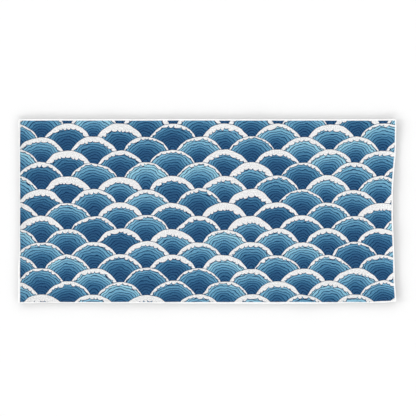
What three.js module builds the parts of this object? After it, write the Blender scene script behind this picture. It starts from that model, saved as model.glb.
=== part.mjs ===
// A beach towel: one length of terry velour, hemmed on all four sides and laid out face up on a floor.
// Millimetres, +Z up. +X runs along the length to the end that lies unevenly, +Y across the width.
// The origin is on the floor, under the middle of the towel's box.
import * as THREE from "three";

// Driving dimensions of the cut cloth and its hem
const LENGTH = 1524;
const WIDTH = 745;
const CLOTH_THICKNESS = 3;
const HEM_WIDTH = 7;
const HEM_THICKNESS = 4;
// Inside the hem, the doubled cloth thins to one layer over this distance
const HEM_FALL = 3;
// The hem's folded edge is rounded over this distance, and the flat of its rim lies between these shares
// of the thickness
const FOLD_ROUND = 1.4;
const RIM_SHARES = [0.2, 0.8];

// Spacing of the sections that the sheet is made of
const SECTION_ALONG = 30;
const SECTION_ACROSS = 26;

// How far each edge lies inside the cut, by the share of the way along it. The uneven end, from the near
// edge:
const END_LINE = [
  { share: 0.0, drawnIn: 0.8 },
  { share: 0.14, drawnIn: 6.3 },
  { share: 0.53, drawnIn: 14.6 },
  { share: 0.575, drawnIn: 14.6 },
  { share: 0.9, drawnIn: 0.4 },
  { share: 1.0, drawnIn: 0 },
];
// The near edge, drawn in at the corner of the uneven end:
const NEAR_LINE = [
  { share: 0.0, drawnIn: 0 },
  { share: 0.925, drawnIn: 0 },
  { share: 0.965, drawnIn: 4 },
  { share: 1.0, drawnIn: 6 },
];
// The cloth is drawn in with the uneven end over this much of its length, and with the near edge over this
// much of its width
const END_REACH = 980;
const NEAR_REACH = 220;

// In places the hem alone is rolled under, and the cloth inside it lies straight. The even end, from the
// near edge:
const EVEN_END_ROLL = [
  { share: 0.0, drawnIn: 0 },
  { share: 0.16, drawnIn: 0 },
  { share: 0.24, drawnIn: 2.5 },
  { share: 0.37, drawnIn: 4 },
  { share: 0.7, drawnIn: 4 },
  { share: 0.9, drawnIn: 2.9 },
  { share: 0.965, drawnIn: 0 },
  { share: 1.0, drawnIn: 0 },
];
// The near edge, from the even end:
const NEAR_ROLL = [
  { share: 0.0, drawnIn: 2.4 },
  { share: 0.085, drawnIn: 4 },
  { share: 0.35, drawnIn: 3 },
  { share: 0.455, drawnIn: 1.7 },
  { share: 0.69, drawnIn: 0.3 },
  { share: 0.77, drawnIn: 1 },
  { share: 0.88, drawnIn: 3.4 },
  { share: 0.93, drawnIn: 4.6 },
  { share: 0.96, drawnIn: 1.6 },
  { share: 1.0, drawnIn: 2.6 },
];

// The stiff hem holds the edge of the cloth this far off the floor all round, less and less over this reach
const EDGE_LIFT = 4;
const EDGE_REACH = 60;

// Low soft ridges in which the cloth stands off the floor. Each is given by its middle, the turn of its
// line from +X in degrees, how far it reaches along that line and to either side of it, and its height.
const RIDGES = [
  { x: 700, y: 120, turn: 9, halfLength: 250, halfWidth: 85, height: 2.5 },
  { x: 730, y: -95, turn: -11, halfLength: 210, halfWidth: 80, height: 2.2 },
  { x: 735, y: 335, turn: 28, halfLength: 190, halfWidth: 70, height: 2.5 },
  { x: 740, y: -320, turn: -34, halfLength: 170, halfWidth: 70, height: 2 },
  { x: 210, y: 372, turn: 82, halfLength: 120, halfWidth: 105, height: 1.5 },
  { x: -395, y: 372, turn: 97, halfLength: 105, halfWidth: 90, height: 1.2 },
  { x: 375, y: -372, turn: 76, halfLength: 125, halfWidth: 95, height: 1.5 },
  { x: -230, y: -372, turn: 94, halfLength: 100, halfWidth: 110, height: 1.2 },
  { x: -762, y: 140, turn: 6, halfLength: 140, halfWidth: 90, height: 1.5 },
  { x: -745, y: -330, turn: 41, halfLength: 130, halfWidth: 65, height: 1.5 },
];

const PRINT_COLOUR = 0x4f83a8;
const FABRIC_ROUGHNESS = 0.95;

const { clamp, degToRad, lerp } = THREE.MathUtils;

// Eases from 0 to 1 and is level at both ends.
function eased(share) {
  const t = clamp(share, 0, 1);
  return t * t * (3 - 2 * t);
}

// Falls from 1 at the middle to 0 at a whole share either side, and is level at both.
function hump(share) {
  return eased(1 - Math.abs(share));
}

// Reads how far an edge is drawn in at a share of the way along it, easing from each row to the next.
function drawnInAt(table, share) {
  const found = table.findIndex((row) => row.share >= share);
  const to = table[Math.max(1, found)];
  const from = table[Math.max(1, found) - 1];
  const part = (share - from.share) / (to.share - from.share);
  return lerp(from.drawnIn, to.drawnIn, eased(part));
}

// How far the ridges lift the cloth at a place on the floor.
function liftAt(place) {
  const centre = new THREE.Vector2();
  let lift = 0;
  for (const ridge of RIDGES) {
    centre.set(ridge.x, ridge.y);
    const turned = place.clone().rotateAround(centre, -degToRad(ridge.turn)).sub(centre);
    lift += ridge.height * hump(turned.x / ridge.halfLength) * hump(turned.y / ridge.halfWidth);
  }
  return lift;
}

// Where a point of the flat cut comes to lie on the floor, with the unevenness of three of its edges.
function laidAt(along, across) {
  const lengthShare = along / LENGTH;
  const widthShare = across / WIDTH;
  const fromUnevenEnd = drawnInAt(END_LINE, widthShare) * eased(1 - (LENGTH - along) / END_REACH);
  const fromEvenEnd = drawnInAt(EVEN_END_ROLL, widthShare) * eased(1 - along / HEM_WIDTH);
  const fromNearEdge =
    drawnInAt(NEAR_LINE, lengthShare) * eased(1 - across / NEAR_REACH) +
    drawnInAt(NEAR_ROLL, lengthShare) * eased(1 - across / HEM_WIDTH);
  const x = along - LENGTH / 2 - fromUnevenEnd + fromEvenEnd;
  const y = across - WIDTH / 2 + fromNearEdge;
  return new THREE.Vector2(x, y);
}

// The sheet's thickness by the distance from its nearest edge: the doubled hem, then the single cloth.
function thicknessAt(inset) {
  return lerp(HEM_THICKNESS, CLOTH_THICKNESS, eased((inset - HEM_WIDTH) / HEM_FALL));
}

// The lines that cross the cut in one direction: the fold and the two sides of the hem at each edge, with
// even steps between them.
function sectionLines(size, spacing) {
  const hemLines = [0, FOLD_ROUND, HEM_WIDTH, HEM_WIDTH + HEM_FALL];
  const inner = HEM_WIDTH + HEM_FALL;
  const steps = Math.round((size - 2 * inner) / spacing);
  const evenLines = [];
  for (let i = 1; i < steps; i++) {
    evenLines.push(lerp(inner, size - inner, i / steps));
  }
  const farHemLines = hemLines.toReversed().map((inset) => size - inset);
  return [...hemLines, ...evenLines, ...farHemLines];
}

// The towel as one solid: a unit box cut by the section lines and carried, point by point, to where it
// lies.
function towelGeometry() {
  const alongLines = sectionLines(LENGTH, SECTION_ALONG);
  const acrossLines = sectionLines(WIDTH, SECTION_ACROSS);
  const alongSteps = alongLines.length - 1;
  const acrossSteps = acrossLines.length - 1;
  const sheet = new THREE.BoxGeometry(1, 1, 1, alongSteps, acrossSteps);
  const points = sheet.getAttribute("position");
  const stepOf = (place, steps) => Math.round((place + 0.5) * steps);
  for (let i = 0; i < points.count; i++) {
    const along = alongLines[stepOf(points.getX(i), alongSteps)];
    const across = acrossLines[stepOf(points.getY(i), acrossSteps)];
    const inset = Math.min(along, LENGTH - along, across, WIDTH - across);
    const through = points.getZ(i) + 0.5;
    const share = inset === 0 ? lerp(...RIM_SHARES, through) : through;
    const place = laidAt(along, across);
    const underside = liftAt(place) + EDGE_LIFT * eased(1 - inset / EDGE_REACH);
    points.setXYZ(i, place.x, place.y, underside + thicknessAt(inset) * share);
  }
  sheet.deleteAttribute("normal");
  sheet.deleteAttribute("uv");
  return sheet;
}

const cloth = new THREE.MeshStandardMaterial({
  color: PRINT_COLOUR,
  roughness: FABRIC_ROUGHNESS,
  metalness: 0,
});
const towel = new THREE.Mesh(towelGeometry(), cloth);
towel.name = "towel";

const beachTowel = new THREE.Group();
beachTowel.add(towel);

export default beachTowel;
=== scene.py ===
# A beach towel of terry velour, laid out face up on a pale floor and seen from straight above.
# Metres, +Z up. +X runs along the towel to the end that lies unevenly, +Y across it to the far edge.
import math

import bpy
import numpy as np
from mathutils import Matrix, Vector


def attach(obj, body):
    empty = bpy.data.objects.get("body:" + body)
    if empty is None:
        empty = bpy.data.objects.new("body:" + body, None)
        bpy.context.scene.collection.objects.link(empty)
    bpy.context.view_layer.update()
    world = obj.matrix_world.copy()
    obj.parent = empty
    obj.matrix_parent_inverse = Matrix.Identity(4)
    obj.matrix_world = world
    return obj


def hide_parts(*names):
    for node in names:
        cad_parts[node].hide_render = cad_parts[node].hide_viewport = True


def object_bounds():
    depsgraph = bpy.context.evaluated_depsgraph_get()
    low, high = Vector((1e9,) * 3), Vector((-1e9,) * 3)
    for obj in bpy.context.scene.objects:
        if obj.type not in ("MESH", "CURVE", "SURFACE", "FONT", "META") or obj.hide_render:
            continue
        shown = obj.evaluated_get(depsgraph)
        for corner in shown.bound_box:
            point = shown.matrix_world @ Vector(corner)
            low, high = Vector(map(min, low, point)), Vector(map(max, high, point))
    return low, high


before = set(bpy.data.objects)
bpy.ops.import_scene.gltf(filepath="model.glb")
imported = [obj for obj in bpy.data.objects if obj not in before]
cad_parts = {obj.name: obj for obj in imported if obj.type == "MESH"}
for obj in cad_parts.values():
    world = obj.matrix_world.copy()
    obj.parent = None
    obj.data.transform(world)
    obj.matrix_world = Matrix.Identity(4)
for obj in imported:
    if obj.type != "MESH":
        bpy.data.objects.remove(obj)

cad_low, cad_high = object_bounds()

# The cut cloth and its hem
LENGTH = 1.524
WIDTH = 0.745
CLOTH_THICKNESS = 0.003
HEM_WIDTH = 0.007
HEM_THICKNESS = 0.004
# Inside the hem, the doubled cloth thins to one layer over this distance
HEM_FALL = 0.003
# The hem's folded edge is rounded over this distance
FOLD_ROUND = 0.0014

# How far each edge lies inside the cut, by the share of the way along it. The uneven end, from the near edge:
END_LINE = [(0.0, 0.0008), (0.14, 0.0063), (0.53, 0.0146), (0.575, 0.0146), (0.9, 0.0004), (1.0, 0.0)]
# The near edge, drawn in at the corner of the uneven end:
NEAR_LINE = [(0.0, 0.0), (0.925, 0.0), (0.965, 0.004), (1.0, 0.006)]
# The cloth is drawn in with the uneven end over this much of its length, and with the near edge over this
# much of its width
END_REACH = 0.980
NEAR_REACH = 0.220
# Where the hem alone is rolled under, at the even end and along the near edge:
EVEN_END_ROLL = [(0.0, 0.0), (0.16, 0.0), (0.24, 0.0025), (0.37, 0.004), (0.7, 0.004), (0.9, 0.0029),
                 (0.965, 0.0), (1.0, 0.0)]
NEAR_ROLL = [(0.0, 0.0024), (0.085, 0.004), (0.35, 0.003), (0.455, 0.0017), (0.69, 0.0003), (0.77, 0.001),
             (0.88, 0.0034), (0.93, 0.0046), (0.96, 0.0016), (1.0, 0.0026)]

# The stiff hem holds the edge of the cloth this far off the floor all round, less and less over this reach
EDGE_LIFT = 0.004
EDGE_REACH = 0.060
# From place to place the lift is more or less, by up to this share
EDGE_LIFT_CHANGE = 0.25
EDGE_LIFT_CELL = 0.13

# Low soft ridges: middle x and y, turn from +X in degrees, half length, half width and height
RIDGES = [
    (0.700, 0.120, 9, 0.250, 0.085, 0.0025),
    (0.730, -0.095, -11, 0.210, 0.080, 0.0022),
    (0.735, 0.335, 28, 0.190, 0.070, 0.0025),
    (0.740, -0.320, -34, 0.170, 0.070, 0.002),
    (0.210, 0.372, 82, 0.120, 0.105, 0.0015),
    (-0.395, 0.372, 97, 0.105, 0.090, 0.0012),
    (0.375, -0.372, 76, 0.125, 0.095, 0.0015),
    (-0.230, -0.372, 94, 0.100, 0.110, 0.0012),
    (-0.762, 0.140, 6, 0.140, 0.090, 0.0015),
    (-0.745, -0.330, 41, 0.130, 0.065, 0.0015),
]

# Fine unevenness of the sewn cloth
EDGE_WANDER = 0.0005
EDGE_WANDER_CELL = 0.070
CORNER_ROUND = 0.006
PUCKER_DEPTH = 0.0004
PUCKER_CELL = 0.009
PUCKER_REACH = 0.022
# The puckers are deepest at this share of their reach
PUCKER_PEAK = 0.3
LUMP_HEIGHT = 0.00012
LUMP_CELL = 0.030
# Each kind of unevenness has its own seed, and repeats after this many cells along and across
SEEDS = {"wander_along": 1, "wander_across": 2, "pucker": 3, "lump": 4, "edge_lift": 5}
NOISE_CELLS = (61, 67)

# Sections of the fine cloth mesh: close together over the hem, then even
HEM_SECTIONS = [0, 0.0003, 0.0008, 0.0014, 0.0022, 0.0032, 0.0042, 0.0048, 0.0054, 0.0060, 0.0066, 0.0074,
                0.0086, 0.0102, 0.0127]
EVEN_SPACING = 0.0057
# The print and the back begin at this distance from the edge
HEM_SEAM = 0.0066

# Where the face and the back lie in a baked picture of the cloth: low corner and size
FACE_MAP = np.array([(0.004, 0.31), (0.992, 0.686)])
BACK_MAP = np.array([(0.004, 0.004), (0.992, 0.296)])

# The hem's stitches, and the line that they sink into
STITCH_INSET = 0.0054
STITCH_GROOVE = 0.0005
STITCH_GROOVE_HALF_WIDTH = 0.0014
STITCH_LENGTH = 0.0030
STITCH_GAP = 0.0007
THREAD_RADIUS = 0.00028
THREAD_SIDES = 6
# The rings round a stitch: the place as a share of its length, then the height and the size as shares of the
# thread's radius
STITCH_RINGS = [(-0.5, -0.9, 0.4), (-0.42, 0.1, 0.85), (-0.2, 0.7, 1.0), (0.2, 0.7, 1.0), (0.42, 0.1, 0.85),
                (0.5, -0.9, 0.4)]
# The corners of the two faces that close the ring at each end of a six-sided thread
RING_HALVES = ([0, 1, 2, 3], [0, 3, 4, 5])


# Shape of the cloth

def eased(share):
    """Eases from 0 to 1 and is level at both ends."""
    t = np.clip(share, 0, 1)
    return t * t * (3 - 2 * t)


def hump(share):
    """Falls from 1 at the middle to 0 at a whole share either side."""
    return eased(1 - np.abs(share))


def soft_noise(x, y, cell, kind):
    """Smooth unevenness between -1 and 1, with a new value in every cell."""
    values = np.random.default_rng(SEEDS[kind]).uniform(-1, 1, NOISE_CELLS)
    column, row = np.floor(x / cell).astype(int), np.floor(y / cell).astype(int)
    across, up = eased(x / cell - column), eased(y / cell - row)

    def value(i, j):
        return values[(column + i) % values.shape[0], (row + j) % values.shape[1]]

    low = value(0, 0) * (1 - across) + value(1, 0) * across
    high = value(0, 1) * (1 - across) + value(1, 1) * across
    return low * (1 - up) + high * up


def drawn_in_at(table, share):
    """How far an edge is drawn in at a share of the way along it, easing from each row to the next."""
    shares, depths = np.array(table).T
    following = np.clip(np.searchsorted(shares, share), 1, len(table) - 1)
    start = shares[following - 1]
    part = eased((share - start) / (shares[following] - start))
    return depths[following - 1] * (1 - part) + depths[following] * part


def laid_at(along, across):
    """Where points of the flat cut lie on the floor, with the edges' unevenness."""
    length_share, width_share = along / LENGTH, across / WIDTH
    from_uneven_end = drawn_in_at(END_LINE, width_share) * eased(1 - (LENGTH - along) / END_REACH)
    from_even_end = drawn_in_at(EVEN_END_ROLL, width_share) * eased(1 - along / HEM_WIDTH)
    from_near_edge = drawn_in_at(NEAR_LINE, length_share) * eased(1 - across / NEAR_REACH)
    from_near_edge += drawn_in_at(NEAR_ROLL, length_share) * eased(1 - across / HEM_WIDTH)
    x = along - LENGTH / 2 - from_uneven_end + from_even_end
    y = across - WIDTH / 2 + from_near_edge
    # No edge is ruler straight, and the corners are a little rounded
    x = x - EDGE_WANDER * soft_noise(along, across, EDGE_WANDER_CELL, "wander_along") * np.sign(x)
    y = y - EDGE_WANDER * soft_noise(along, across, EDGE_WANDER_CELL, "wander_across") * np.sign(y)
    end_inset = np.minimum(along, LENGTH - along)
    side_inset = np.minimum(across, WIDTH - across)
    corner = eased(1 - end_inset / CORNER_ROUND) * eased(1 - side_inset / CORNER_ROUND)
    pull = corner * CORNER_ROUND * (1 - math.sqrt(0.5))
    return x - pull * np.sign(x), y - pull * np.sign(y)


def lift_at(x, y):
    """How far the ridges lift the cloth at places on the floor."""
    lift = np.zeros_like(x)
    for ridge_x, ridge_y, turn, half_length, half_width, height in RIDGES:
        cosine, sine = math.cos(math.radians(turn)), math.sin(math.radians(turn))
        along = (x - ridge_x) * cosine + (y - ridge_y) * sine
        aside = (y - ridge_y) * cosine - (x - ridge_x) * sine
        lift += height * hump(along / half_length) * hump(aside / half_width)
    return lift


def inset_at(along, across):
    """Distance from the nearest edge of the cut."""
    return np.minimum(np.minimum(along, LENGTH - along), np.minimum(across, WIDTH - across))


def surface_at(along, across):
    """Where points of the flat cut lie: x, y, and the heights of the cloth's underside and face."""
    x, y = laid_at(along, across)
    inset = inset_at(along, across)
    thinning = eased((inset - HEM_WIDTH) / HEM_FALL)
    thickness = HEM_THICKNESS + (CLOTH_THICKNESS - HEM_THICKNESS) * thinning
    groove = STITCH_GROOVE * hump((inset - STITCH_INSET) / STITCH_GROOVE_HALF_WIDTH)
    pucker = PUCKER_DEPTH * soft_noise(along, across, PUCKER_CELL, "pucker")
    pucker = pucker * hump(inset / PUCKER_REACH - PUCKER_PEAK)
    lump = LUMP_HEIGHT * soft_noise(along, across, LUMP_CELL, "lump")
    change = 1 + EDGE_LIFT_CHANGE * soft_noise(along, across, EDGE_LIFT_CELL, "edge_lift")
    low = lift_at(x, y) + EDGE_LIFT * change * eased(1 - inset / EDGE_REACH)
    roundness = np.sqrt(1 - (1 - np.clip(inset / FOLD_ROUND, 0, 1)) ** 2)
    middle = low + thickness / 2
    face = middle + (thickness / 2 + pucker + lump - groove) * roundness
    underside = middle - (thickness / 2 - groove) * roundness
    return x, y, underside, face


def section_lines(size):
    """Lines across the cut in one direction: close together over each hem, and even between them."""
    hem = np.array(HEM_SECTIONS)
    steps = round((size - 2 * hem[-1]) / EVEN_SPACING)
    even = np.linspace(hem[-1], size - hem[-1], steps + 1)
    return np.concatenate([hem[:-1], even, (size - hem[:-1])[::-1]])


def new_piece(name, points, faces, materials):
    """A smooth mesh object in the scene."""
    mesh = bpy.data.meshes.new(name)
    mesh.from_pydata(points.tolist(), [], faces.tolist())
    mesh.shade_smooth()
    for material in materials:
        mesh.materials.append(material)
    piece = bpy.data.objects.new(name, mesh)
    bpy.context.scene.collection.objects.link(piece)
    return piece


def towel_cloth(print_material, hem_material, back_material):
    """The towel as one closed mesh: its face and underside, which meet at the middle of the hem's fold."""
    along, across = np.meshgrid(section_lines(LENGTH), section_lines(WIDTH), indexing="ij")
    x, y, underside, face = surface_at(along, across)
    above = np.arange(along.size).reshape(along.shape)
    below = above.copy()
    inner = (slice(1, -1), slice(1, -1))
    below[inner] = along.size + np.arange(below[inner].size).reshape(below[inner].shape)
    face_points = np.stack([x, y, face], -1).reshape(-1, 3)
    under_points = np.stack([x[inner], y[inner], underside[inner]], -1).reshape(-1, 3)

    def quads(index):
        return np.stack([index[:-1, :-1], index[1:, :-1], index[1:, 1:], index[:-1, 1:]], -1).reshape(-1, 4)

    faces = np.concatenate([quads(above), quads(below)[:, ::-1]])
    materials = [print_material, hem_material, back_material]
    piece = new_piece("towel_cloth", np.concatenate([face_points, under_points]), faces, materials)
    mesh = piece.data

    # Each face's material: the print or the back, with the hem round both
    print_slot, hem_slot, back_slot = range(len(materials))
    middle_along = (along[:-1, :-1] + along[1:, 1:]) / 2
    middle_across = (across[:-1, :-1] + across[1:, 1:]) / 2
    in_hem = inset_at(middle_along, middle_across).ravel() < HEM_SEAM
    slots = np.concatenate([np.where(in_hem, hem_slot, print_slot), np.where(in_hem, hem_slot, back_slot)])
    mesh.polygons.foreach_set("material_index", slots.astype(np.int32))

    # The flat cut, which the materials are drawn on, and the map that a baked picture of them uses
    flat = np.stack([along, across], -1)
    flat = np.concatenate([flat.reshape(-1, 2), flat[inner].reshape(-1, 2)])[faces.ravel()]
    mesh.uv_layers.new(name="Flat").uv.foreach_set("vector", flat.astype(np.float32).ravel())
    spread = flat / (LENGTH, WIDTH)
    face_corners = faces.size // 2
    baked = np.concatenate([
        FACE_MAP[0] + spread[:face_corners] * FACE_MAP[1],
        BACK_MAP[0] + (spread[face_corners:] * (-1, 1) + (1, 0)) * BACK_MAP[1],
    ])
    mesh.uv_layers.new(name="OFBake").uv.foreach_set("vector", baked.astype(np.float32).ravel())
    return piece


def hem_stitches(thread):
    """Straight stitches round the hem, on the face and the underside, as one mesh of short bent threads."""
    ring_places, ring_heights, ring_sizes = np.array(STITCH_RINGS).T
    turn = np.arange(THREAD_SIDES) * 2 * math.pi / THREAD_SIDES
    outward = ring_sizes[:, None] * THREAD_RADIUS * np.cos(turn)
    upward = ring_sizes[:, None] * THREAD_RADIUS * np.sin(turn)
    pitch = STITCH_LENGTH + STITCH_GAP
    inner_length, inner_width = LENGTH - 2 * STITCH_INSET, WIDTH - 2 * STITCH_INSET
    runs = [
        {"start": (STITCH_INSET, STITCH_INSET), "way": (1, 0), "length": inner_length},
        {"start": (LENGTH - STITCH_INSET, STITCH_INSET), "way": (0, 1), "length": inner_width},
        {"start": (LENGTH - STITCH_INSET, WIDTH - STITCH_INSET), "way": (-1, 0), "length": inner_length},
        {"start": (STITCH_INSET, WIDTH - STITCH_INSET), "way": (0, -1), "length": inner_width},
    ]
    points = []
    for run in runs:
        count = int(run["length"] / pitch)
        middles = (np.arange(count) + 0.5) * run["length"] / count
        distance = middles[:, None] + ring_places[None, :] * STITCH_LENGTH
        along = run["start"][0] + run["way"][0] * distance
        across = run["start"][1] + run["way"][1] * distance
        x, y, underside, face = surface_at(along, across)
        for heights, side in ((face, 1), (underside, -1)):
            centre = heights + side * ring_heights * THREAD_RADIUS
            ring_x = x[:, :, None] - run["way"][1] * outward
            ring_y = y[:, :, None] + run["way"][0] * outward
            ring_z = centre[:, :, None] + upward
            points.append(np.stack([ring_x, ring_y, ring_z], -1).reshape(-1, 3))
    points = np.concatenate(points)

    faces = []
    starts = np.arange(0, len(points), len(STITCH_RINGS) * THREAD_SIDES)
    last_ring = (len(STITCH_RINGS) - 1) * THREAD_SIDES
    for ring in range(0, last_ring, THREAD_SIDES):
        for side in range(THREAD_SIDES):
            here, after = ring + side, ring + (side + 1) % THREAD_SIDES
            corners = [here, after, after + THREAD_SIDES, here + THREAD_SIDES]
            faces.append(starts[:, None] + corners)
    for half in RING_HALVES:
        faces.append(starts[:, None] + half[::-1])
        faces.append(starts[:, None] + last_ring + half)
    return new_piece("hem_stitches", points, np.concatenate(faces), [thread])


# Shader tools

TUFT_SMOOTHNESS = 0.6
SPECULAR_LEVEL = 0.05
SHEEN_ROUGHNESS = 0.5


class Number:
    """A number in a shader tree. Sums with it add the nodes that work them out."""

    def __init__(self, tree, socket):
        self.tree = tree
        self.socket = socket

    def sum(self, operation, *values):
        node = self.tree.nodes.new("ShaderNodeMath")
        node.operation = operation
        for socket, value in zip(node.inputs, values):
            feed(self.tree, socket, value)
        return Number(self.tree, node.outputs[0])

    def __add__(self, other):
        return self.sum("ADD", self, other)

    def __sub__(self, other):
        return self.sum("SUBTRACT", self, other)

    def __rsub__(self, other):
        return self.sum("SUBTRACT", other, self)

    def __mul__(self, other):
        return self.sum("MULTIPLY", self, other)

    def __truediv__(self, other):
        return self.sum("DIVIDE", self, other)

    def __mod__(self, other):
        return self.sum("FLOORED_MODULO", self, other)

    def floor(self):
        return self.sum("FLOOR", self)

    def root(self):
        return self.sum("SQRT", self)

    def sine(self):
        return self.sum("SINE", self)

    def turn_from(self, other):
        """The angle whose tangent is this number over the other."""
        return self.sum("ARCTAN2", self, other)

    def below(self, limit):
        return self.sum("LESS_THAN", self, limit)

    def at_most(self, limit):
        return self.sum("MINIMUM", self, limit)

    def at_least(self, limit):
        return self.sum("MAXIMUM", self, limit)

    def step(self, start, end):
        """Eases from 0 at start to 1 at end."""
        node = self.tree.nodes.new("ShaderNodeMapRange")
        node.interpolation_type = "SMOOTHSTEP"
        feed(self.tree, node.inputs["Value"], self)
        feed(self.tree, node.inputs["From Min"], start)
        feed(self.tree, node.inputs["From Max"], end)
        return Number(self.tree, node.outputs["Result"])


def feed(tree, socket, value):
    """Links a socket to a number or another socket, or sets it to a plain value."""
    if isinstance(value, Number):
        value = value.socket
    if isinstance(value, bpy.types.NodeSocket):
        tree.links.new(value, socket)
    else:
        socket.default_value = value


def as_vector(tree, x, y):
    """A vector of two numbers."""
    node = tree.nodes.new("ShaderNodeCombineXYZ")
    feed(tree, node.inputs["X"], x)
    feed(tree, node.inputs["Y"], y)
    return node.outputs[0]


def parts_of(tree, vector):
    """The three numbers of a vector or a colour."""
    node = tree.nodes.new("ShaderNodeSeparateXYZ")
    feed(tree, node.inputs[0], vector)
    return [Number(tree, socket) for socket in node.outputs]


def mixed(tree, share, first, second, kind="RGBA"):
    """From first, at a share of 0, to second, at 1."""
    node = tree.nodes.new("ShaderNodeMix")
    node.data_type = kind
    sockets = [s for s in node.inputs if s.enabled]
    for socket, value in zip(sockets, (share, first, second)):
        feed(tree, socket, value)
    return next(s for s in node.outputs if s.enabled)


def scaled(tree, vector, level):
    """A vector or a colour, times a number."""
    node = tree.nodes.new("ShaderNodeVectorMath")
    node.operation = "SCALE"
    feed(tree, node.inputs[0], vector)
    feed(tree, node.inputs["Scale"], level)
    return node.outputs[0]


def noise_node(tree, place, size, detail, roughness):
    """A noise texture with features of about that size, in metres."""
    node = tree.nodes.new("ShaderNodeTexNoise")
    feed(tree, node.inputs["Vector"], place)
    node.inputs["Scale"].default_value = 1 / size
    node.inputs["Detail"].default_value = detail
    node.inputs["Roughness"].default_value = roughness
    return node


def noise(tree, place, size, detail=2.0, roughness=0.5):
    """Noise from 0 to 1, as a number."""
    return Number(tree, noise_node(tree, place, size, detail, roughness).outputs["Fac"])


def drift(tree, place, size, amount, detail=1.0):
    """Noise that strays to either side of 0 by up to half the amount."""
    return (noise(tree, place, size, detail) - 0.5) * amount


def wandering(tree, place, size, reach):
    """The place, moved about by noise of that size."""
    node = tree.nodes.new("ShaderNodeVectorMath")
    node.operation = "MULTIPLY_ADD"
    feed(tree, node.inputs[0], noise_node(tree, place, size, detail=1.0, roughness=0.5).outputs["Color"])
    node.inputs[1].default_value = (reach, reach, 0)
    feed(tree, node.inputs[2], place)
    return node.outputs[0]


def tufts(tree, place, size, disorder=1.0):
    """Soft-edged tufts of about that size: the distance from each one's middle, and a number of its own."""
    node = tree.nodes.new("ShaderNodeTexVoronoi")
    node.voronoi_dimensions = "2D"
    node.feature = "SMOOTH_F1"
    feed(tree, node.inputs["Vector"], place)
    node.inputs["Scale"].default_value = 1 / size
    node.inputs["Smoothness"].default_value = TUFT_SMOOTHNESS
    node.inputs["Randomness"].default_value = disorder
    return Number(tree, node.outputs["Distance"]), parts_of(tree, node.outputs["Color"])[0]


def chances(tree, x, y):
    """Three numbers by chance, from 0 to 1, for each pair of whole numbers."""
    node = tree.nodes.new("ShaderNodeTexWhiteNoise")
    node.noise_dimensions = "2D"
    feed(tree, node.inputs["Vector"], as_vector(tree, x, y))
    return parts_of(tree, node.outputs["Color"])


def ramp(tree, value, stops):
    """A colour by a number, from a list of (place, colour)."""
    node = tree.nodes.new("ShaderNodeValToRGB")
    elements = node.color_ramp.elements
    while len(elements) < len(stops):
        elements.new(1.0)
    for element, (place, colour) in zip(elements, stops):
        element.position = place
        element.color = colour
    feed(tree, node.inputs["Fac"], value)
    return node.outputs["Color"]


def bump(tree, height, distance, strength):
    """The surface's direction where it stands out by that height, with a height of 1 as that distance."""
    node = tree.nodes.new("ShaderNodeBump")
    feed(tree, node.inputs["Height"], height)
    node.inputs["Distance"].default_value = distance
    node.inputs["Strength"].default_value = strength
    return node.outputs["Normal"]


def flat_place(tree):
    """The place on the flat cut, in metres."""
    node = tree.nodes.new("ShaderNodeUVMap")
    node.uv_map = "Flat"
    return node.outputs["UV"]


def inside_of(tree, flat, even_end=0.0, uneven_end=0.0, near_edge=0.0, far_edge=0.0):
    """How far the place lies inside the nearest edge, or the nearest line drawn that far in from an edge."""
    along, across, _ = parts_of(tree, flat)
    inside = (along - even_end).at_most(LENGTH - uneven_end - along)
    inside = inside.at_most(across - near_edge)
    return inside.at_most(WIDTH - far_edge - across)


def new_material(name, roughness, sheen):
    """A material of dull fibre, with its tree and its shader."""
    material = bpy.data.materials.new(name)
    material.use_nodes = True
    tree = material.node_tree
    shader = tree.nodes["Principled BSDF"]
    shader.inputs["Roughness"].default_value = roughness
    shader.inputs["Specular IOR Level"].default_value = SPECULAR_LEVEL
    shader.inputs["Sheen Weight"].default_value = sheen
    shader.inputs["Sheen Roughness"].default_value = SHEEN_ROUGHNESS
    return material, tree, shader


# Colours

# How much brighter the studio light shows a surface than its own colour
STUDIO_GAIN = 1.26


def ink(red, green, blue):
    """The cloth colour that shows as this screen colour, from 0 to 255, in the studio light."""
    # Screen levels follow the standard sRGB curve
    linear = []
    for level in (red, green, blue):
        share = level / 255
        linear.append(share / 12.92 if share <= 0.04045 else ((share + 0.055) / 1.055) ** 2.4)
    return (*(level / STUDIO_GAIN for level in linear), 1.0)


LINE_INK = ink(14, 49, 87)
NAVY_INK = ink(42, 85, 125)
DEEP_INK = ink(50, 99, 139)
MID_INK = ink(62, 116, 154)
MEDIUM_INK = ink(88, 146, 181)
LIGHT_INK = ink(120, 178, 208)
CYAN_INK = ink(162, 216, 234)
PRINT_WHITE = ink(242, 242, 242)
# Bleached cotton: the hem and the back, which have no print. The darker end is painted shade in the gaps of
# the hem's weave and between the back's loops, and the darker fibres of the thread
COTTON_WHITE = (0.94, 0.94, 0.94, 1)
COTTON_SHADE = (0.70, 0.70, 0.70, 1)


# The printed face

# Overlapping fans in rows, each row half a fan along from the next
FAN_RADIUS = 0.106
ROW_SPACING = FAN_RADIUS / 2
# The whole print wanders a little, as if drawn by hand: the size and reach of each wander
PRINT_WANDERS = [(0.15, 0.018), (0.040, 0.009)]
# Each fan's shade drifts over the towel, with a little difference between neighbours
SHADE_DRIFT = 0.7
SHADE_DRIFT_SIZE = 0.24
SHADE_CHANCE = 0.3
# Each fan has wavering bands, from dark at its centre to light at its rim
FAN_BANDS = 10
BAND_WAVER = 0.15
BAND_WAVER_SIZE = 0.030
BAND_INKS = [
    (0.22, NAVY_INK),
    (0.35, DEEP_INK),
    (0.48, MID_INK),
    (0.62, MEDIUM_INK),
    (0.79, LIGHT_INK),
    (0.97, CYAN_INK),
]
# The share of each band where its line begins to fade, and where it ends
LINE_SHARES = (0.20, 0.30)

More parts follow.
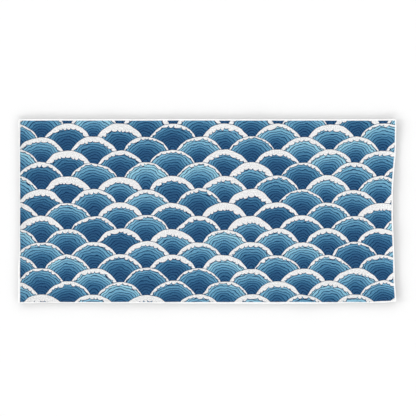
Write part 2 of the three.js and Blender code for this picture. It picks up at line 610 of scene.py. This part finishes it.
# The foam along a fan's rim has this depth, and more at the fan's crown, which spans this share of the fan
FOAM_DEPTH = 0.0034
CROWN_SPAN = 0.86
CROWN_DEPTH = 0.0005
CROWN_DEPTH_CHANCE = 0.020
# Round lobes at the foam's lower edge: how many in a radian of the rim, how far they stray along it, and
# their height, which is also more at the crown
LOBES = 4.4
LOBE_STARTS = 10
LOBE_DRIFT = 2.0
LOBE_DRIFT_SIZE = 0.05
LOBE_HEIGHT = 0.001
CROWN_LOBE_HEIGHT = 0.0090
LOBE_LEAST_SHARE = 0.5
LOBE_CHANCE = 0.8
# Sets the chances of one row's lobes apart from the next row's
ROW_STRIDE = 50
# Where the foam's dark outline, its white and the line along the rim come in
OUTLINE_FADE = (-0.0034, -0.0024)
FOAM_FADE = (-0.0005, 0.0005)
RIM_LINE_FADE = (0.0014, 0.0022)

# The white left round the print, which isn't quite in the middle of the cloth and stops unevenly
PRINT_MARGINS = {"even_end": 0.0082, "uneven_end": 0.0064, "near_edge": 0.0082, "far_edge": 0.0066}
MARGIN_DRIFT = 0.0014
MARGIN_DRIFT_SIZE = 0.005
MARGIN_FADE = (-0.0003, 0.0003)

# The pile: leaning clumps, tufts with gaps between them, fibres, and the way that the nap lies
CLUMP_SIZE = 0.0040
TUFT_SIZE = 0.0014
TUFT_WANDER = (0.0026, 0.0014)
FIBRE_SIZE = 0.0005
NAP_SIZE = 0.11
# How far each lightens and darkens the ink: the clumps and fibres vary its tone at random, the gaps between
# tufts are painted darker as painted shade, and the nap is painted lighter and darker in patches as painted
# sheen
CLUMP_SHADE = 1.1
GAP_PAINTED_SHADE = 0.55
GAP_MEAN = 0.38
FIBRE_SHADE = 0.35
NAP_PAINTED_SHEEN = 0.03
# The share of each in the pile's height
CLUMP_RISE = 0.4
FIBRE_RISE = 0.6
GAP_FALL = 1.4
PILE_HEIGHT = 0.0008
PILE_STRENGTH = 0.55
PILE_ROUGHNESS = 0.82
FIBRE_ROUGHNESS = 0.2


def fan_at(tree, x, y, row):
    """The nearest fan of a row: the way from its centre to this place, and whether it reaches this far."""
    shifted = x - (row % 2) * FAN_RADIUS
    column = (shifted / (2 * FAN_RADIUS) + 0.5).floor()
    across = shifted - column * (2 * FAN_RADIUS)
    up = y - row * ROW_SPACING
    reached = (across * across + up * up).root().below(FAN_RADIUS)
    return as_vector(tree, across, up), reached


def wave_print(tree, flat):
    """The print's colour: overlapping wave fans that carry foam along their rims."""
    drawn = flat
    for size, reach in PRINT_WANDERS:
        drawn = wandering(tree, drawn, size, reach)
    x, y, _ = parts_of(tree, drawn)

    # The front fan that holds this place, of the three rows that can
    first_row = (y / ROW_SPACING).floor() - 1
    front, in_front = fan_at(tree, x, y, first_row)
    middle, in_middle = fan_at(tree, x, y, first_row + 1)
    back, _ = fan_at(tree, x, y, first_row + 2)
    held = mixed(tree, in_middle, back, middle, "VECTOR")
    held = mixed(tree, in_front, held, front, "VECTOR")
    across, up, _ = parts_of(tree, held)
    distance = (across * across + up * up).root()

    # The fan's own shade
    column = ((x - across) / FAN_RADIUS + 0.5).floor()
    row = ((y - up) / ROW_SPACING + 0.5).floor()
    shade_chance, foam_chance, start_chance = chances(tree, column, row)
    centre = as_vector(tree, column * FAN_RADIUS, row * ROW_SPACING)
    shade = drift(tree, centre, SHADE_DRIFT_SIZE, SHADE_DRIFT, detail=0.0)
    shade = shade + (shade_chance - 0.5) * SHADE_CHANCE

    # Bands round the fan, with a line between each two
    turns = (distance / FAN_RADIUS + drift(tree, flat, BAND_WAVER_SIZE, BAND_WAVER)) * FAN_BANDS
    band = turns.floor()
    tone = (band + 0.5) / FAN_BANDS + shade
    line = 1 - (turns - band).step(*LINE_SHARES)
    colour = mixed(tree, line, ramp(tree, tone, BAND_INKS), LINE_INK)

    # The foam's depth, with its lobes
    rim = FAN_RADIUS - distance
    aside = across / (CROWN_SPAN * FAN_RADIUS)
    crown = (1 - aside * aside).at_least(0.0).root()
    lobes = across.turn_from(up) * LOBES + start_chance * LOBE_STARTS
    lobes = lobes + drift(tree, drawn, LOBE_DRIFT_SIZE, LOBE_DRIFT, detail=0.0)
    lobe = lobes.floor()
    lobe_part = (lobes - lobe) * 2 - 1
    lobe_chance, _, _ = chances(tree, lobe, column + row * ROW_STRIDE)
    bulge = (1 - lobe_part * lobe_part).root() * (lobe_chance * LOBE_CHANCE + LOBE_LEAST_SHARE)
    foam = crown * (foam_chance * foam_chance * CROWN_DEPTH_CHANCE + CROWN_DEPTH) + FOAM_DEPTH
    foam = foam + bulge * (crown * CROWN_LOBE_HEIGHT + LOBE_HEIGHT)

    # The foam's outline, its white, and the line along the rim
    depth = foam - rim
    colour = mixed(tree, depth.step(*OUTLINE_FADE), colour, LINE_INK)
    colour = mixed(tree, depth.step(*FOAM_FADE), colour, PRINT_WHITE)
    return mixed(tree, rim.step(*RIM_LINE_FADE), LINE_INK, colour)


def printed_velour():
    """Sheared terry, printed inside a white margin. Its clumps and fibres vary the ink's tone, the gaps
    between its tufts are painted darker as painted shade, and its nap is painted lighter and darker in
    patches as painted sheen.
    """
    material, tree, shader = new_material("printed_velour", roughness=0.95, sheen=0.02)
    flat = flat_place(tree)
    colour = wave_print(tree, flat)
    inside = inside_of(tree, flat, **PRINT_MARGINS) + drift(tree, flat, MARGIN_DRIFT_SIZE, MARGIN_DRIFT)

    clump = noise(tree, flat, CLUMP_SIZE, detail=1.0, roughness=0.6)
    gap, _ = tufts(tree, wandering(tree, flat, *TUFT_WANDER), TUFT_SIZE)
    fibre = noise(tree, flat, FIBRE_SIZE, detail=3.0, roughness=0.75)
    nap = noise(tree, flat, NAP_SIZE)
    # Painted shade in the gaps between tufts and painted sheen in the nap's patches, over random tone from
    # the clumps and fibres
    level = (clump - 0.5) * CLUMP_SHADE + (GAP_MEAN - gap) * GAP_PAINTED_SHADE + (fibre - 0.5) * FIBRE_SHADE
    level = level + (nap - 0.5) * NAP_PAINTED_SHEEN + 1.0
    colour = mixed(tree, inside.step(*MARGIN_FADE), COTTON_WHITE, scaled(tree, colour, level))
    height = clump * CLUMP_RISE + fibre * FIBRE_RISE - gap * GAP_FALL
    feed(tree, shader.inputs["Base Color"], colour)
    feed(tree, shader.inputs["Roughness"], fibre * FIBRE_ROUGHNESS + PILE_ROUGHNESS)
    feed(tree, shader.inputs["Normal"], bump(tree, height, PILE_HEIGHT, PILE_STRENGTH))
    return material


# The hem, the back and the thread

# The hem's plain weave: the pitch of its threads, the size and reach of their wander, and its slubs
WEAVE_PITCH = 0.0011
WEAVE_WANDER = (0.004, 0.0006)
WEAVE_RISE = 0.35
SLUB_SIZE = 0.0016
WEAVE_HEIGHT = 0.0007
WEAVE_STRENGTH = 0.9
# The outside of the fold is painted this share greyer, a painted shade along its rounded edge
FOLD_PAINTED_SHADE = 0.25
FOLD_PAINTED_SHADE_FADE = (0.0002, 0.0016)

# The back's terry loops
LOOP_SIZE = 0.0023
LOOP_WANDER = (0.012, 0.004)
LOOP_DISORDER = 0.6
LOOP_FIBRE_SIZE = 0.0007
LOOP_LEVEL = 0.55
LOOP_LEAN = 0.15
LOOP_FIBRE_RISE = 0.4
LOOP_HEIGHT = 0.0014
LOOP_STRENGTH = 0.8

THREAD_FIBRE_SIZE = 0.0006


def white_hem():
    """The unprinted edge: a flat woven band."""
    material, tree, shader = new_material("white_hem", roughness=0.92, sheen=0.05)
    flat = flat_place(tree)
    along, across, _ = parts_of(tree, wandering(tree, flat, *WEAVE_WANDER))
    thread_turn = 2 * math.pi / WEAVE_PITCH
    weave = (along * thread_turn).sine() * (across * thread_turn).sine()
    height = weave * WEAVE_RISE + noise(tree, flat, SLUB_SIZE, roughness=0.7)
    # Painted shade: the weave is darker in the gaps between its threads, and the slubs vary its tone at
    # random
    colour = ramp(tree, height, [(0.1, COTTON_SHADE), (0.5, COTTON_WHITE)])
    # Painted shade: the cloth is darker towards the fold
    fold_shade = (1 - inside_of(tree, flat).step(*FOLD_PAINTED_SHADE_FADE)) * FOLD_PAINTED_SHADE
    feed(tree, shader.inputs["Base Color"], scaled(tree, colour, 1 - fold_shade))
    feed(tree, shader.inputs["Normal"], bump(tree, height, WEAVE_HEIGHT, WEAVE_STRENGTH))
    return material


def terry_back():
    """The unprinted back: white loops."""
    material, tree, shader = new_material("terry_back", roughness=0.95, sheen=0.05)
    flat = flat_place(tree)
    gap, lean = tufts(tree, wandering(tree, flat, *LOOP_WANDER), LOOP_SIZE, LOOP_DISORDER)
    fibre = noise(tree, flat, LOOP_FIBRE_SIZE, roughness=0.7)
    height = lean * LOOP_LEAN + fibre * LOOP_FIBRE_RISE - gap + LOOP_LEVEL
    # Painted shade: the back is darker in the gaps between its loops, and the loops' lean and fibres vary its
    # tone at random
    colour = ramp(tree, height, [(0.1, COTTON_SHADE), (0.6, COTTON_WHITE)])
    feed(tree, shader.inputs["Base Color"], colour)
    feed(tree, shader.inputs["Normal"], bump(tree, height, LOOP_HEIGHT, LOOP_STRENGTH))
    return material


def white_thread():
    """The thread of the hem's stitches."""
    material, tree, shader = new_material("white_thread", roughness=0.7, sheen=0.05)
    place = tree.nodes.new("ShaderNodeTexCoord").outputs["Object"]
    fibre = noise(tree, place, THREAD_FIBRE_SIZE, detail=1.0)
    colour = ramp(tree, fibre, [(0.3, COTTON_SHADE), (0.7, COTTON_WHITE)])
    feed(tree, shader.inputs["Base Color"], colour)
    return material


# Floor, light and camera

FLOOR_SIZE = 120.0
# The floor lies this far below the towel's lowest point
FLOOR_DROP = 0.0002
FLOOR_COLOUR = (0.8, 0.8, 0.8, 1)
# The dome's share of the light on the floor
DOME_SHARE = 0.485
# The low lights: their height over the floor and their width, in degrees
LOW_LIGHT_HEIGHT = 13
LOW_LIGHT_WIDTH = 20
# The side that each comes from, as a heading from +X in degrees, and its share of the light on the floor
LOW_LIGHTS = [(0, 0.01), (45, 0.03), (90, 0.055), (135, 0.075), (180, 0.13), (225, 0.08), (270, 0.075),
              (315, 0.06)]
# The photograph's side and the towel's length in it, in pixels, and the point at its middle
PHOTO_PIXELS = 416
LENGTH_PIXELS = 378.6
VIEW_CENTRE = (0.0028, 0.0141)
LENS = 85
SENSOR = 36


def studio_floor():
    """A plain pale floor, much larger than any view of it."""
    material = bpy.data.materials.new("floor")
    material.use_nodes = True
    shader = material.node_tree.nodes["Principled BSDF"]
    shader.inputs["Base Color"].default_value = FLOOR_COLOUR
    shader.inputs["Roughness"].default_value = 1.0
    shader.inputs["Specular IOR Level"].default_value = 0.0
    half = FLOOR_SIZE / 2
    corners = np.array([(-half, -half), (half, -half), (half, half), (-half, half)])
    points = np.column_stack([corners, np.full(len(corners), cad_low.z - FLOOR_DROP)])
    new_piece("floor", points, np.array([[0, 1, 2, 3]]), [material])


def studio_light():
    """An even white dome, with low soft lights all round that are stronger from the left and near sides."""
    scene = bpy.context.scene
    scene.world = bpy.data.worlds.new("studio")
    scene.world.use_nodes = True
    dome = scene.world.node_tree.nodes["Background"]
    dome.inputs["Color"].default_value = (1, 1, 1, 1)
    dome.inputs["Strength"].default_value = STUDIO_GAIN * DOME_SHARE
    height = math.radians(LOW_LIGHT_HEIGHT)
    for degrees, share in LOW_LIGHTS:
        name = f"low_light_{degrees}"
        lamp = bpy.data.lights.new(name, "SUN")
        lamp.energy = STUDIO_GAIN * share * math.pi / math.sin(height)
        lamp.angle = math.radians(LOW_LIGHT_WIDTH)
        # Light thrown back by the white hem would fill its own shadow
        lamp.cycles.max_bounces = 0
        light = bpy.data.objects.new(name, lamp)
        heading = math.radians(degrees)
        towards = Vector((math.cos(heading), math.sin(heading), math.tan(height)))
        light.rotation_euler = towards.to_track_quat("Z", "Y").to_euler()
        light.location = towards
        scene.collection.objects.link(light)


def photo_camera():
    """Straight down on the towel, at the photograph's scale."""
    camera = bpy.data.objects.new("camera", bpy.data.cameras.new("camera"))
    camera.data.lens = LENS
    camera.data.sensor_width = SENSOR
    metres_per_pixel = LENGTH / LENGTH_PIXELS
    distance = PHOTO_PIXELS * metres_per_pixel * LENS / SENSOR
    camera.location = (*VIEW_CENTRE, distance + EDGE_LIFT + HEM_THICKNESS)
    bpy.context.scene.collection.objects.link(camera)
    bpy.context.scene.camera = camera


cloth = towel_cloth(printed_velour(), white_hem(), terry_back())
stitches = hem_stitches(white_thread())
for piece in (cloth, stitches):
    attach(piece, "root")
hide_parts("towel")

studio_floor()
studio_light()
photo_camera()
bpy.context.scene.view_settings.view_transform = "Standard"
